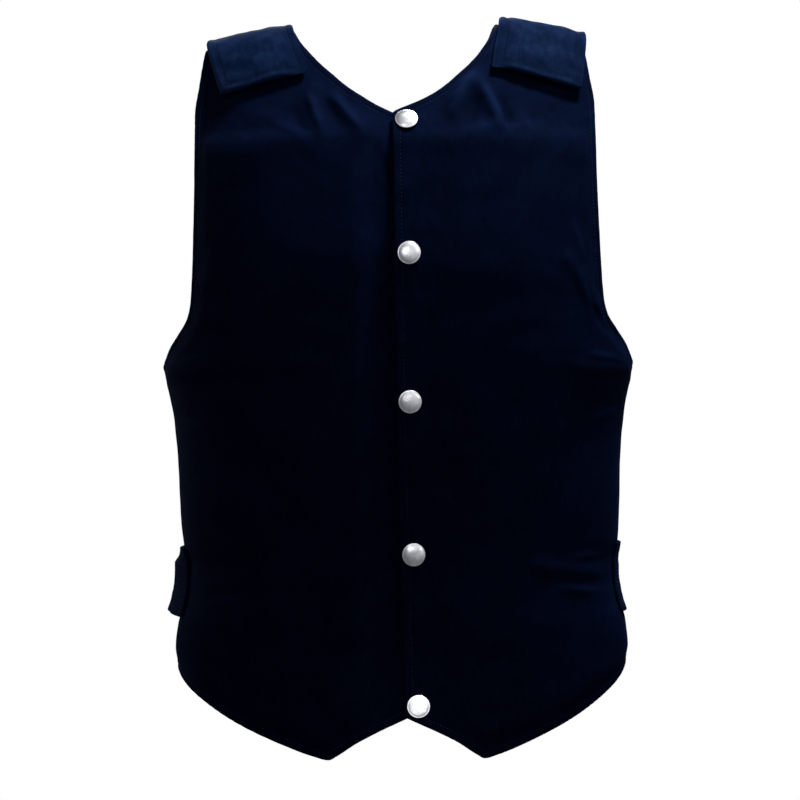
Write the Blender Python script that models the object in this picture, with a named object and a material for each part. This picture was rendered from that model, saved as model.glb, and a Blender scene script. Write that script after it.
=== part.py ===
"""A stab vest: two front panels closed by press studs, a back panel, shoulder straps and side straps.

Metres, +Z up. The front faces -Y and the wearer's left is +X. The origin is the point that the vest
hangs from: midway between the shoulder straps, level with their undersides beside the neck.
"""

import math

import bmesh
import bpy
import numpy as np

MM = 0.001
FRONT, BACK = -1, 1
LEFT, RIGHT = 1, -1

GAP = 0.3 * MM
SEAT = 0.6 * MM
STRAP_SEAT = 1.5 * MM
SEAM_HALF_GAP = 0.25 * MM

SECTION_POWER = 2.4
BODY_MIDDLE = np.array((0.0, 0.0, -0.3))
CLOTH = 3.0 * MM
PADDED = 9.0 * MM
PADDING_LIFT = 2.0 * MM
BORDER, PADDING_RAMP = 5 * MM, 14 * MM

NECK_HALF_WIDTH = 84 * MM
SHOULDER_HALF_WIDTH = 157 * MM
SHOULDER_SLOPE = 0.2
SLOPE_START, SLOPE_FULL = 60 * MM, 108 * MM
SHOULDER_END = -14.6 * MM
SHOULDER_RISE = {LEFT: 2.9 * MM, RIGHT: -1.7 * MM}
RISE_START, RISE_FULL = 64 * MM, 86 * MM
RISE_FADES_FROM, RISE_GONE_BY = -60 * MM, -150 * MM
SLOPE_FADES_FROM, SLOPE_GONE_BY = -80 * MM, -220 * MM

UNDERARM = -280 * MM
SIDE_HEM, HEM_NOTCH = -530.6 * MM, -567 * MM
HEM_LEVELS_OFF = -424 * MM
FRONT_DIP_POWER, BACK_RISE_POWER = 1.3, 1.4
NECK_POINT = -76 * MM
NECK_SHIFT, NECK_SHIFT_BY = 3.2 * MM, -61 * MM
INSERT_TOP = -87 * MM

OVERLAP = 27 * MM
CLOSING_BORDER = {LEFT: OVERLAP + 4 * MM, RIGHT: OVERLAP + 16 * MM}
OVERLAP_TOP = -90 * MM
OVERLAP_CLEARANCE = 2.4 * MM
STEP_START, STEP_LENGTH = 10 * MM, 24 * MM
HEM_CENTRE = 4.4 * MM

CAP_RADIUS = 9.4 * MM
CAP_PROFILE = [(8.2, 0), (9.2, 0.35), (9.4, 1.0), (9.0, 1.7), (7.4, 2.5), (4.8, 3.05), (1.8, 3.25)]
CAP_SIDES, STUD_SIDES = 16, 12
CAP_SEAT_REACH = 0.7 * CAP_RADIUS
STUD_RADIUS, STUD_THICKNESS = 5.5 * MM, 1.2 * MM
SNAP_PLACES = [
    (inset * MM, height * MM)
    for inset, height in ((11.2, -83.4), (11.5, -192.2), (10.2, -311.5), (10.0, -434.4), (10.3, -556.8))
]

STRAP_WIDTH = 73 * MM
STRAP_CENTRE = {LEFT: 123.4 * MM, RIGHT: 119.5 * MM}
STRAP_THICKNESS = 5.0 * MM
STRAP_FRONT_END, STRAP_BACK_END = -43.6 * MM, -66 * MM
STRAP_LEAN = {(FRONT, LEFT): 1.0, (FRONT, RIGHT): 1.8, (BACK, LEFT): 0.3, (BACK, RIGHT): 0.3}
STRAP_COLUMNS, PATCH_COLUMNS = 7, 6
STRAP_FRONT_SHARES = [1, 0.86, 0.7, 0.54, 0.4, 0.27, 0.16, 0.07]
STRAP_TOP_SHARES = [0.03, 0.01, 0]
STRAP_BACK_SHARES = [0.007, 0.02, 0.05, 0.12, 0.2, 0.3, 0.42, 0.56, 0.7, 0.85, 1]
STRAP_SLANT = {(FRONT, LEFT): 0.13, (FRONT, RIGHT): 0.11, (BACK, LEFT): 0.0, (BACK, RIGHT): 0.0}
RIDGE_RISE, RIDGE_REACH = 1.6 * MM, 15 * MM
PATCH_THICKNESS = 1.6 * MM
PATCH_MARGIN = 9 * MM
PATCH_SHARES = [0.82, 0.68, 0.54, 0.42]

SIDE_STRAP_TOP, SIDE_STRAP_BOTTOM = -429 * MM, -488 * MM
SIDE_STRAP_THICKNESS = 2.0 * MM
SIDE_STRAP_FRONT_Y, SIDE_STRAP_BACK_Y = -32 * MM, 69 * MM
SIDE_STRAP_SEAT, SLACK_ONSET = 0.8 * MM, 14 * MM
SEAM_DIP = 3 * MM
SLACK_END = 0.75


class Table:
    """A short table in millimetres, read between its rows along a smooth curve that doesn't overshoot."""

    def __init__(self, columns, *rows):
        rows = np.array(sorted(rows), float) * MM
        self.keys = rows[:, 0]
        self.columns = {name: rows[:, i] for i, name in enumerate(columns.split())}

    def __call__(self, column, key):
        keys, values = self.keys, self.columns[column]
        key = min(max(key, keys[0]), keys[-1])
        i = min(int(np.searchsorted(keys, key, side="right")) - 1, len(keys) - 2)
        steps = np.diff(values) / np.diff(keys)
        span = keys[i + 1] - keys[i]
        share = (key - keys[i]) / span
        start, end = (slope_at(steps, k) * span for k in (i, i + 1))
        rise = values[i + 1] - values[i]
        curved = share * (1 - share) * ((1 - share) * (start - rise) - share * (end - rise))
        return values[i] + share * rise + curved


def slope_at(steps, i):
    """The curve's slope at a row, from the straight slopes on its two sides."""
    if i == 0 or i == len(steps):
        return steps[min(i, len(steps) - 1)]
    before, after = steps[i - 1], steps[i]
    return 0.0 if before * after <= 0 else 2 * before * after / (before + after)


# The body's level sections, each a superellipse with this half width and these depths in front and behind.
WIDTHS = Table(
    "height half_width",
    (-600, 186), (-531, 186.5), (-510, 186.4), (-494, 185), (-477, 180), (-460, 177), (-444, 176.5),
    (-427, 179.5), (-394, 182), (-360, 183.5), (-327, 186), (-310, 188.5), (-293, 192), (-280, 195.5),
    (-267, 194.5), (-254, 193), (-241, 191.5), (-220, 189.5), (-180, 187), (-120, 185.5), (0, 185),
)
DEPTHS = Table(
    "level front back",
    (-600, 94, 96), (-531, 96, 94), (-480, 99, 87), (-435, 101, 84), (-394, 104, 86), (-310, 109, 96),
    (-210, 111, 106), (-143, 103, 103), (-115, 98, 96), (-105, 96.5, 92), (-97, 94.5, 89), (-90, 91, 85),
    (-70, 77.5, 75), (-54, 67.5, 64), (-38, 56.5, 53), (-27, 48, 45), (-16, 37.5, 36), (-10, 30.5, 30),
    (-5, 22.5, 22.5), (-2, 14.5, 14.5), (-0.6, 8, 8), (0, 0, 0),
)

# Edges of the panels, as half widths for a height or heights for a distance from the middle.
FRONT_ARMHOLE = Table(
    "height x",
    (-280, 195.5), (-267, 190), (-254, 180.5), (-241, 172), (-228, 169), (-188, 166.8), (-106, 165),
    (-72, 165), (-47, 161.5), (-14.6, 157),
)
BACK_ARMHOLE = Table(
    "height x",
    (-280, 195.5), (-262, 186), (-240, 170), (-205, 156), (-150, 150), (-90, 152), (-14.6, 157),
)
FRONT_NECK = Table(
    "height x",
    (-76, 0), (-65, 22.8), (-54.3, 39), (-43.6, 50.9), (-32.7, 62.3), (-21.9, 71.4), (-10.5, 79.2), (0, 84),
)
BACK_NECK = Table("x height", (0, -68), (20, -65), (40, -55), (60, -38), (75, -19), (84, 0))
FRONT_HEM = Table(
    "from_centre height",
    (-30, -553), (0, -567), (40, -586), (57, -597), (63, -600), (75, -597), (98, -588.5), (137, -570.5),
    (166, -552), (180, -540), (186.5, -530.6),
)
BACK_HEM = Table("x height", (0, -544), (150, -543), (178, -538), (186.5, -530.6))
CLOSING_EDGE = Table("height x", (-600, 3.2), (-567, 2.8), (-312, -0.9), (-76, -1.8))

# The height at which a row of the front panels starts at the closing edge, for where it ends at the side.
ROW_STARTS = Table(
    "end start",
    (-530.6, -567), (-508, -532), (-470, -478), (-424, -424), (-120, -120), (-98, -90), (-85, -76),
    (-14.6, 0),
)
FRONT_ROWS = [
    height * MM
    for height in (
        -530.6, -520, -506, -486, -462, -444, -420, -392, -366, -340, -316, -297, -280, -267, -254, -241,
        -222, -195, -168, -142, -120, -109, -98, -85, -72, -59, -46, -34, -23, -18, -15.4, -14.6,
    )
]
FRONT_COLUMNS = {
    LEFT: [0, 0.035, 0.1, 0.19, 0.298, 0.4, 0.5, 0.61, 0.715, 0.81, 0.9, 0.965, 1],
    RIGHT: [0, 0.06, 0.115, 0.17, 0.265, 0.372, 0.48, 0.59, 0.7, 0.8, 0.895, 0.96, 1],
}
BACK_ROWS = [
    height * MM
    for height in (
        -530.6, -518, -492, -462, -442, -405, -368, -335, -305, -280, -262, -240, -215, -185, -155, -128,
        -106, -88, -70, -54, -40, -27, -20, -16.2, -14.6,
    )
]
BACK_HALF_COLUMNS = [0, 0.11, 0.22, 0.33, 0.435, 0.535, 0.65, 0.77, 0.88, 0.96, 1]
BACK_LEVELS_OFF = -160 * MM

# The main soft folds of the front panels, each a low ridge between two points.
FOLD_COLUMNS = "hand x height to_x to_height half_width rise"
FOLDS = [
    dict(zip(FOLD_COLUMNS.split(), (hand, *(value * MM for value in sizes))))
    for hand, *sizes in (
        (LEFT, 52, -54, 48, -88, 10, 2.4),
        (LEFT, 74, -50, 73, -88, 10, 2.6),
        (LEFT, 138, -198, 162, -234, 9, 1.8),
        (LEFT, 146, -286, 182, -288, 9, 1.4),
        (LEFT, 112, -446, 156, -453, 10, 1.6),
        (RIGHT, 48, -64, 26, -94, 9, 2.0),
        (RIGHT, 68, -56, 60, -92, 9, 1.8),
        (RIGHT, 146, -284, 184, -287, 9, 1.2),
        (RIGHT, 112, -456, 154, -459, 10, 1.4),
    )
]


def ease(share):
    share = min(max(share, 0.0), 1.0)
    return share * share * (3 - 2 * share)


def shoulder_drop(x):
    """How far the shoulder line has fallen at this distance from the middle."""
    x = abs(x)
    if x <= SLOPE_START:
        return 0.0
    if x < SLOPE_FULL:
        return SHOULDER_SLOPE * (x - SLOPE_START) ** 2 / (2 * (SLOPE_FULL - SLOPE_START))
    return SHOULDER_SLOPE * (x - (SLOPE_START + SLOPE_FULL) / 2)


def level_of(x, height):
    """The height measured from the sloping shoulder line near the top, and from the neck lower down."""
    return height + shoulder_drop(x) * ease((height - SLOPE_GONE_BY) / (SLOPE_FADES_FROM - SLOPE_GONE_BY))


def shoulder_rise(x, height):
    """How much higher or lower one shoulder hangs than the drawn one."""
    across = ease((abs(x) - RISE_START) / (RISE_FULL - RISE_START))
    share = ease((height - RISE_GONE_BY) / (RISE_FADES_FROM - RISE_GONE_BY))
    return SHOULDER_RISE[LEFT if x > 0 else RIGHT] * across * share


def body_point(x, height, side):
    """The point of the body's surface in front or behind at this place of the elevation."""
    depth = DEPTHS("front" if side == FRONT else "back", level_of(x, height))
    across = min(abs(x) / WIDTHS("half_width", height), 1.0)
    reach = depth * (1 - across**SECTION_POWER) ** (1 / SECTION_POWER)
    return np.array((x, side * max(reach, SEAM_HALF_GAP), height + shoulder_rise(x, height)))


def plan_angle(x, half_width):
    across = min(max(x / half_width, -1.0), 1.0)
    return math.asin(math.copysign(abs(across) ** (SECTION_POWER / 2), across))


def plan_x(angle, half_width):
    across = math.sin(angle)
    return half_width * math.copysign(abs(across) ** (2 / SECTION_POWER), across)


def angle_at_depth(y, height):
    """The angle round the body, from the front over the wearer's left to the back, at this depth."""
    side = "front" if y < 0 else "back"
    across = (1 - (abs(y) / DEPTHS(side, height)) ** SECTION_POWER) ** (1 / SECTION_POWER)
    angle = plan_angle(across, 1.0)
    return angle if y < 0 else math.pi - angle


def spread_row(start, end, shares, side):
    """Places (x, height) from start to end at these shares of the length measured round the body."""
    angles = [plan_angle(x, WIDTHS("half_width", height)) for x, height in (start, end)]
    steps = np.linspace(0, 1, 61)
    heights = start[1] + (end[1] - start[1]) * steps
    xs = [plan_x(a, WIDTHS("half_width", h)) for a, h in zip(np.interp(steps, (0, 1), angles), heights)]
    points = np.array([body_point(x, h, side) for x, h in zip(xs, heights)])
    lengths = np.concatenate(([0], np.cumsum(np.linalg.norm(np.diff(points, axis=0), axis=1))))
    wanted = np.array(shares) * lengths[-1]
    return list(zip(np.interp(wanted, lengths, xs), np.interp(wanted, lengths, heights)))


def normals(grid, away_from):
    """Unit normals of a grid of points, turned away from a point inside the body."""
    along = np.gradient(grid, axis=0)
    across = np.gradient(grid, axis=1)
    normal = np.cross(along, across)
    normal /= np.linalg.norm(normal, axis=2, keepdims=True)
    facing = np.sum(normal * (grid - away_from), axis=2, keepdims=True)
    return normal * np.sign(facing.sum())


def fold_rise(x, height, hand):
    """How far the soft folds lift a front panel here."""
    rise = 0.0
    for fold in FOLDS:
        if fold["hand"] != hand:
            continue
        start = np.array((fold["x"], fold["height"]))
        run = np.array((fold["to_x"], fold["to_height"])) - start
        offset = np.array((abs(x), height)) - start
        share = float(offset @ run) / float(run @ run)
        aside = float(np.linalg.norm(offset - run * min(max(share, 0.0), 1.0))) / fold["half_width"]
        rise += fold["rise"] * math.exp(-2 * aside * aside)
    return rise


def padding(grid, row, column, start_border):
    """From 0 in the cloth border of a panel to 1 over its padding."""
    point = grid[row, column]
    distances = (
        np.linalg.norm(point - grid[row, 0]) - start_border,
        np.linalg.norm(point - grid[row, -1]) - BORDER,
        np.linalg.norm(point - grid[0, column]) - BORDER,
        INSERT_TOP - point[2],
    )
    return math.prod(ease(distance / PADDING_RAMP) for distance in distances)


def solid_from_grids(name, outer, inner, material):
    """One closed body between two grids of points."""
    rows, columns = outer.shape[:2]
    mesh = bmesh.new()
    sheets = [[[mesh.verts.new(point) for point in row] for row in grid] for grid in (outer, inner)]
    for sheet in sheets:
        for i in range(rows - 1):
            for j in range(columns - 1):
                mesh.faces.new((sheet[i][j], sheet[i][j + 1], sheet[i + 1][j + 1], sheet[i + 1][j]))
    border = [(0, j) for j in range(columns)] + [(i, columns - 1) for i in range(1, rows)]
    border += [(rows - 1, j) for j in range(columns - 2, -1, -1)] + [(i, 0) for i in range(rows - 2, 0, -1)]
    for (i, j), (k, m) in zip(border, border[1:] + border[:1]):
        mesh.faces.new((sheets[0][i][j], sheets[0][k][m], sheets[1][k][m], sheets[1][i][j]))
    bmesh.ops.recalc_face_normals(mesh, faces=mesh.faces[:])
    return add_object(name, mesh, material)


def turned_solid(name, profile, sides, place, axis, material):
    """One closed body turned about an axis, from (radius, height) points up from its foot."""
    axis = axis / np.linalg.norm(axis)
    across = np.cross(axis, (0.0, 0.0, 1.0))
    across /= np.linalg.norm(across)
    up = np.cross(across, axis)
    mesh = bmesh.new()
    rings = []
    for radius, height in profile:
        turns = [2 * math.pi * k / sides for k in range(sides)]
        spokes = [across * math.cos(turn) + up * math.sin(turn) for turn in turns]
        rings.append([mesh.verts.new(place + axis * height + spoke * radius) for spoke in spokes])
    for low, high in zip(rings, rings[1:]):
        for k in range(sides):
            mesh.faces.new((low[k], low[(k + 1) % sides], high[(k + 1) % sides], high[k]))
    mesh.faces.new(rings[0])
    mesh.faces.new(rings[-1])
    bmesh.ops.recalc_face_normals(mesh, faces=mesh.faces[:])
    return add_object(name, mesh, material)


def add_object(name, mesh, material):
    data = bpy.data.meshes.new(name)
    mesh.to_mesh(data)
    mesh.free()
    data.shade_smooth()
    data.set_sharp_from_angle(angle=math.radians(50))
    data.materials.append(material)
    thing = bpy.data.objects.new(name, data)
    bpy.context.scene.collection.objects.link(thing)
    return thing


def make_material(name, colour, roughness, metallic=0.0):
    material = bpy.data.materials.new(name)
    material.use_nodes = True
    shader = material.node_tree.nodes["Principled BSDF"]
    shader.inputs["Base Color"].default_value = (*colour, 1.0)
    shader.inputs["Roughness"].default_value = roughness
    shader.inputs["Metallic"].default_value = metallic
    return material


def hem_height(x, hand):
    """The height of the front hem, which dips to a point on each side and rises to a notch in the middle."""
    centre = HEM_CENTRE * (1 - min(abs(x) / WIDTHS("half_width", SIDE_HEM), 1))
    return FRONT_HEM("height", hand * (x - centre))


def closing_start(height, hand):
    """Where a front panel's row starts: its edge down the middle, and the neckline above."""
    if height > NECK_POINT:
        shift = NECK_SHIFT * ease((height - NECK_POINT) / (NECK_SHIFT_BY - NECK_POINT))
        return CLOSING_EDGE("x", NECK_POINT) + shift + hand * FRONT_NECK("x", height)
    edge = CLOSING_EDGE("x", height)
    if hand == LEFT:
        return edge
    covered = 1 - min(max((height - OVERLAP_TOP) / (NECK_POINT - OVERLAP_TOP), 0), 1)
    return edge + OVERLAP * covered


def front_grid(hand):
    """The surface of a front panel, from the hem up and from the closing edge to the side."""
    side_width = WIDTHS("half_width", SIDE_HEM)
    rows = []
    for end_height in FRONT_ROWS:
        start_height = ROW_STARTS("start", end_height)
        edge = FRONT_ARMHOLE("x", end_height) if end_height > UNDERARM else WIDTHS("half_width", end_height)
        start = (closing_start(start_height, hand), start_height)
        row = spread_row(start, (hand * edge, end_height), FRONT_COLUMNS[hand], FRONT)
        dip = max(0.0, (HEM_LEVELS_OFF - end_height) / (HEM_LEVELS_OFF - SIDE_HEM)) ** FRONT_DIP_POWER
        bottom = spread_row((start[0], HEM_NOTCH), (hand * side_width, SIDE_HEM), FRONT_COLUMNS[hand], FRONT)
        scale = side_width / WIDTHS("half_width", end_height)
        points = []
        for (x, height), (_, low) in zip(row, bottom):
            points.append(body_point(x, height + dip * (hem_height(x * scale, hand) - low), FRONT))
        rows.append(points)
    return np.array(rows)


def tuck(x, hand):
    """How far the covered front panel steps back to lie under the other."""
    if hand == LEFT:
        return 0.0
    beyond = CLOSING_EDGE("x", NECK_POINT) - STEP_START - x
    return (CLOTH + OVERLAP_CLEARANCE) * ease(1 - beyond / STEP_LENGTH)


def front_panel(name, hand, material):
    grid = front_grid(hand)
    normal = normals(grid, BODY_MIDDLE)
    outer, inner = grid.copy(), grid.copy()
    for i, j in np.ndindex(grid.shape[:2]):
        x, _, height = grid[i, j]
        padded = padding(grid, i, j, CLOSING_BORDER[hand])
        edge_room = min(i, j, grid.shape[1] - 1 - j) > 0
        rise = PADDING_LIFT * padded + fold_rise(x, height, hand) * edge_room
        level = normal[i, j] * (1, 1, 0)
        outer[i, j] += normal[i, j] * rise - level * tuck(x, hand) / (level @ level)
        inner[i, j] = outer[i, j] - normal[i, j] * (CLOTH + (PADDED - CLOTH) * padded)
        for point in (outer[i, j], inner[i, j]):
            point[1] = min(point[1], -SEAM_HALF_GAP)
    return solid_from_grids(name, outer, inner, material)


def back_panel(name, material):
    half = BACK_HALF_COLUMNS
    shares = [0.5 - share / 2 for share in reversed(half)] + [0.5 + share / 2 for share in half[1:]]
    rows = []
    for height in BACK_ROWS:
        edge = BACK_ARMHOLE("x", height) if height > UNDERARM else WIDTHS("half_width", height)
        row = spread_row((-edge, height), (edge, height), shares, BACK)
        rise = max(0.0, (height - BACK_LEVELS_OFF) / (SHOULDER_END - BACK_LEVELS_OFF)) ** BACK_RISE_POWER
        dip = max(0.0, (HEM_LEVELS_OFF - height) / (HEM_LEVELS_OFF - SIDE_HEM))
        scale = WIDTHS("half_width", SIDE_HEM) / WIDTHS("half_width", height)
        points = []
        for x, level in row:
            top = BACK_NECK("height", abs(x)) if abs(x) < NECK_HALF_WIDTH else -shoulder_line_fall(x)
            hem = BACK_HEM("height", abs(x) * scale)
            points.append(body_point(x, level + rise * (top - SHOULDER_END) + dip * (hem - SIDE_HEM), BACK))
        rows.append(points)
    grid = np.array(rows)
    normal = normals(grid, BODY_MIDDLE)
    outer, inner = grid.copy(), grid.copy()
    for i, j in np.ndindex(grid.shape[:2]):
        padded = padding(grid, i, j, BORDER)
        outer[i, j] += normal[i, j] * PADDING_LIFT * padded
        inner[i, j] = outer[i, j] - normal[i, j] * (CLOTH + (PADDED - CLOTH) * padded)
        for point in (outer[i, j], inner[i, j]):
            point[1] = max(point[1], SEAM_HALF_GAP)
    return solid_from_grids(name, outer, inner, material)


def shoulder_line_fall(x):
    """The fall of the panels' straight top edge from the neck to the end of the shoulder."""
    share = (abs(x) - NECK_HALF_WIDTH) / (SHOULDER_HALF_WIDTH - NECK_HALF_WIDTH)
    return -SHOULDER_END * share


def strap_rows(hand, end, shares, side, half_width, columns):
    """Rows of surface points under a shoulder strap, at these shares of the level of its end."""
    tilt = math.atan(SHOULDER_SLOPE)
    across = np.linspace(-half_width, half_width, columns)
    slant = 1 + STRAP_SLANT[side, hand] * (across / STRAP_WIDTH + 0.5)
    rows = []
    for share in shares:
        middle = STRAP_CENTRE[hand] + end * share * math.sin(tilt) * STRAP_LEAN[side, hand]
        xs = middle + across * math.cos(tilt)
        levels = end * share * slant
        rows.append([body_point(hand * x, level - shoulder_drop(x), side) for x, level in zip(xs, levels)])
    return np.array(rows)


def shoulder_strap(name, hand, material):
    """The broad strap from the back panel, over the shoulder, to a flap on the front panel."""
    shares = STRAP_FRONT_SHARES + STRAP_TOP_SHARES
    in_front = strap_rows(hand, STRAP_FRONT_END, shares, FRONT, STRAP_WIDTH / 2, STRAP_COLUMNS)
    behind = strap_rows(hand, STRAP_BACK_END, STRAP_BACK_SHARES, BACK, STRAP_WIDTH / 2, STRAP_COLUMNS)
    grid = np.concatenate((in_front, behind))
    grid[:, :, 2] += RIDGE_RISE * np.exp(-((grid[:, :, 1] / RIDGE_REACH) ** 2))
    normal = normals(grid, np.array((hand * STRAP_CENTRE[hand], 0.0, -0.1)))
    patch_rows = len(STRAP_FRONT_SHARES)
    lifts = [SEAT + PATCH_THICKNESS + SEAT] * patch_rows + [STRAP_SEAT] * (len(grid) - patch_rows)
    lifts = np.convolve(np.pad(lifts, 2, mode="edge"), np.ones(5) / 5, mode="valid")
    inner = grid + normal * lifts[:, None, None]
    return solid_from_grids(name, inner + normal * STRAP_THICKNESS, inner, material)


def hook_patch(name, hand, material):
    """The pad that holds a shoulder strap's flap to the front panel."""
    half_width = STRAP_WIDTH / 2 - PATCH_MARGIN
    grid = strap_rows(hand, STRAP_FRONT_END, PATCH_SHARES, FRONT, half_width, PATCH_COLUMNS)
    normal = normals(grid, np.array((hand * STRAP_CENTRE[hand], 0.0, -0.1)))
    inner = grid + normal * SEAT
    return solid_from_grids(name, inner + normal * PATCH_THICKNESS, inner, material)


def side_strap(name, hand, bulge, material):
    """The strap that joins front and back at the waist, and stands away from the side where it is slack."""
    rows = []
    for height in np.linspace(SIDE_STRAP_BOTTOM, SIDE_STRAP_TOP, 6):
        half_width = WIDTHS("half_width", height)
        ends = [angle_at_depth(y, height) for y in (SIDE_STRAP_FRONT_Y, SIDE_STRAP_BACK_Y)]
        row = []
        for angle in np.linspace(*ends, 19):
            side = FRONT if angle < math.pi / 2 else BACK
            row.append(body_point(hand * plan_x(min(angle, math.pi - angle), half_width), height, side))
        rows.append(row)
    grid = np.array(rows)
    normal = normals(grid, np.array((0.0, 0.0, grid[:, :, 2].mean())))
    share = np.linspace(0, 1, grid.shape[1])
    slack = np.sin(np.pi * np.clip(share / SLACK_END, 0, 1)) ** 2
    loose = np.array([ease((SIDE_STRAP_TOP - z) / SLACK_ONSET) for z in grid[:, 0, 2]])
    border = np.array([ease((abs(y) + SEAM_DIP) / PADDING_RAMP) for y in grid[0, :, 1]])
    lift = SIDE_STRAP_SEAT + PADDING_LIFT * border[None, :] + bulge * slack[None, :] * loose[:, None]
    inner = grid + normal * lift[:, :, None]
    return solid_from_grids(name, inner + normal * SIDE_STRAP_THICKNESS, inner, material)


def snap_seat(inset, height):
    """The place and outward direction of a press stud on the closing border."""
    x = CLOSING_EDGE("x", height) + inset
    middle = body_point(x, height, FRONT)
    across = body_point(x + CAP_SEAT_REACH, height, FRONT) - body_point(x - CAP_SEAT_REACH, height, FRONT)
    up = body_point(x, height + CAP_SEAT_REACH, FRONT) - body_point(x, height - CAP_SEAT_REACH, FRONT)
    axis = np.cross(across, up)
    axis /= np.linalg.norm(axis)
    turns = np.linspace(0, 2 * math.pi, CAP_SIDES, endpoint=False)
    circle = CAP_RADIUS * np.stack((np.cos(turns), np.sin(turns)), axis=1)
    rim = [body_point(x + right, height + rise, FRONT) for right, rise in circle]
    proud = max(float((point - middle) @ axis) for point in rim + [middle])
    return middle, axis, max(proud, 0.0)


def snap_cap(name, place, material):
    """The domed cap of a press stud, on the face of the covering panel."""
    middle, axis, proud = snap_seat(*place)
    profile = [(radius * MM, rise * MM) for radius, rise in CAP_PROFILE]
    turned_solid(name, profile, CAP_SIDES, middle + axis * (proud + GAP), axis, material)


def snap_stud(name, place, material):
    """The flat inner half of a press stud, between the two panels."""
    middle, axis, _ = snap_seat(*place)
    foot = middle - axis * (CLOTH + SEAT + STUD_THICKNESS)
    profile = [(STUD_RADIUS, 0), (STUD_RADIUS, STUD_THICKNESS)]
    turned_solid(name, profile, STUD_SIDES, foot, axis, material)


def clear_scene():
    for thing in list(bpy.data.objects):
        bpy.data.objects.remove(thing, do_unlink=True)


def main():
    clear_scene()
    shell = make_material("shell_cloth", (0.006, 0.010, 0.030), 0.85)
    strap = make_material("strap_cloth", (0.012, 0.018, 0.045), 0.8)
    elastic = make_material("side_strap_cloth", (0.012, 0.015, 0.040), 0.6)
    hook = make_material("hook_tape", (0.01, 0.01, 0.012), 0.95)
    steel = make_material("snap_metal", (0.72, 0.73, 0.76), 0.25, 1.0)
    front_panel("front_panel_left", LEFT, shell)
    front_panel("front_panel_right", RIGHT, shell)
    back_panel("back_panel", shell)
    for side, hand, bulge in (("left", LEFT, 0.5 * MM), ("right", RIGHT, 10 * MM)):
        shoulder_strap(f"shoulder_strap_{side}", hand, strap)
        hook_patch(f"hook_patch_{side}", hand, hook)
        side_strap(f"side_strap_{side}", hand, bulge, elastic)
    for number, place in enumerate(SNAP_PLACES, 1):
        snap_cap(f"snap_cap_{number}", place, steel)
        snap_stud(f"snap_stud_{number}", place, steel)


main()
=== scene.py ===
"""The looks of a stab vest: cloth panels over their inserts, stitched straps and nickel press studs.

Metres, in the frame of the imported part: +Z up, the front faces -Y and the wearer's left is +X.
"""

import math

import bmesh
import bpy
import numpy as np
from mathutils import Matrix, Vector, kdtree, noise


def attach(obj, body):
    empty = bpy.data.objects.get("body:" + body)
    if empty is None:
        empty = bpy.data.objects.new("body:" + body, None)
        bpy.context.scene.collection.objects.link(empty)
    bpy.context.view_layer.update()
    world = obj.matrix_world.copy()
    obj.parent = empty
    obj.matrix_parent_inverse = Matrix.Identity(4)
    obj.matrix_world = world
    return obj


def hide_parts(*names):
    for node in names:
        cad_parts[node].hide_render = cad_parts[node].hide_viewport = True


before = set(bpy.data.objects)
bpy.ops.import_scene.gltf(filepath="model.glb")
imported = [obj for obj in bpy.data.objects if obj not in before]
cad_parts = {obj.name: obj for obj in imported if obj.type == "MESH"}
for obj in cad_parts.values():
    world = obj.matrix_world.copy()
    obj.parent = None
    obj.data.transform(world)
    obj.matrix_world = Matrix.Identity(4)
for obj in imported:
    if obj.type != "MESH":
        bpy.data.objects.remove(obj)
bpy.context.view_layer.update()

MM = 0.001
FRONT, BACK = -1, 1
LEFT, RIGHT = 1, -1
SEED = 7

# The part's own sizes, as in its source. Only the armholes are rounded off a little more below, and the
# first two folds of the left front run a little steeper.
GAP = 0.3 * MM
SEAT = 0.6 * MM
STRAP_SEAT = 1.5 * MM
SEWN_HALF_GAP = 0.01 * MM
SECTION_POWER = 2.4
BODY_MIDDLE = np.array((0.0, 0.0, -0.3))
CLOTH = 3.0 * MM
PADDED = 9.0 * MM
PADDING_LIFT = 2.0 * MM
BORDER, PADDING_RAMP = 5 * MM, 14 * MM
NECK_HALF_WIDTH = 84 * MM
SHOULDER_HALF_WIDTH = 157 * MM
SHOULDER_SLOPE = 0.2
SLOPE_START, SLOPE_FULL = 60 * MM, 108 * MM
SHOULDER_END = -14.6 * MM
SHOULDER_RISE = {LEFT: 2.9 * MM, RIGHT: -1.7 * MM}
RISE_START, RISE_FULL = 64 * MM, 86 * MM
RISE_FADES_FROM, RISE_GONE_BY = -60 * MM, -150 * MM
SLOPE_FADES_FROM, SLOPE_GONE_BY = -80 * MM, -220 * MM
UNDERARM = -280 * MM
SIDE_HEM, HEM_NOTCH = -530.6 * MM, -567 * MM
HEM_LEVELS_OFF = -424 * MM
FRONT_DIP_POWER, BACK_RISE_POWER = 1.3, 1.4
NECK_POINT = -76 * MM
NECK_SHIFT, NECK_SHIFT_BY = 3.2 * MM, -61 * MM
INSERT_TOP = -87 * MM
OVERLAP = 27 * MM
CLOSING_BORDER = {LEFT: OVERLAP + 4 * MM, RIGHT: OVERLAP + 16 * MM}
OVERLAP_TOP = -90 * MM
OVERLAP_CLEARANCE = 2.4 * MM
STEP_START, STEP_LENGTH = 10 * MM, 24 * MM
HEM_CENTRE = 4.4 * MM
CAP_RADIUS = 9.4 * MM
CAP_SEAT_REACH = 0.7 * CAP_RADIUS
SNAP_PLACES = [
    (inset * MM, height * MM)
    for inset, height in ((11.2, -83.4), (11.5, -192.2), (10.2, -311.5), (10.0, -434.4), (10.3, -556.8))
]
STRAP_WIDTH = 73 * MM
STRAP_CENTRE = {LEFT: 123.4 * MM, RIGHT: 119.5 * MM}
STRAP_THICKNESS = 5.0 * MM
STRAP_FRONT_END, STRAP_BACK_END = -43.6 * MM, -66 * MM
STRAP_LEAN = {(FRONT, LEFT): 1.0, (FRONT, RIGHT): 1.8, (BACK, LEFT): 0.3, (BACK, RIGHT): 0.3}
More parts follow.
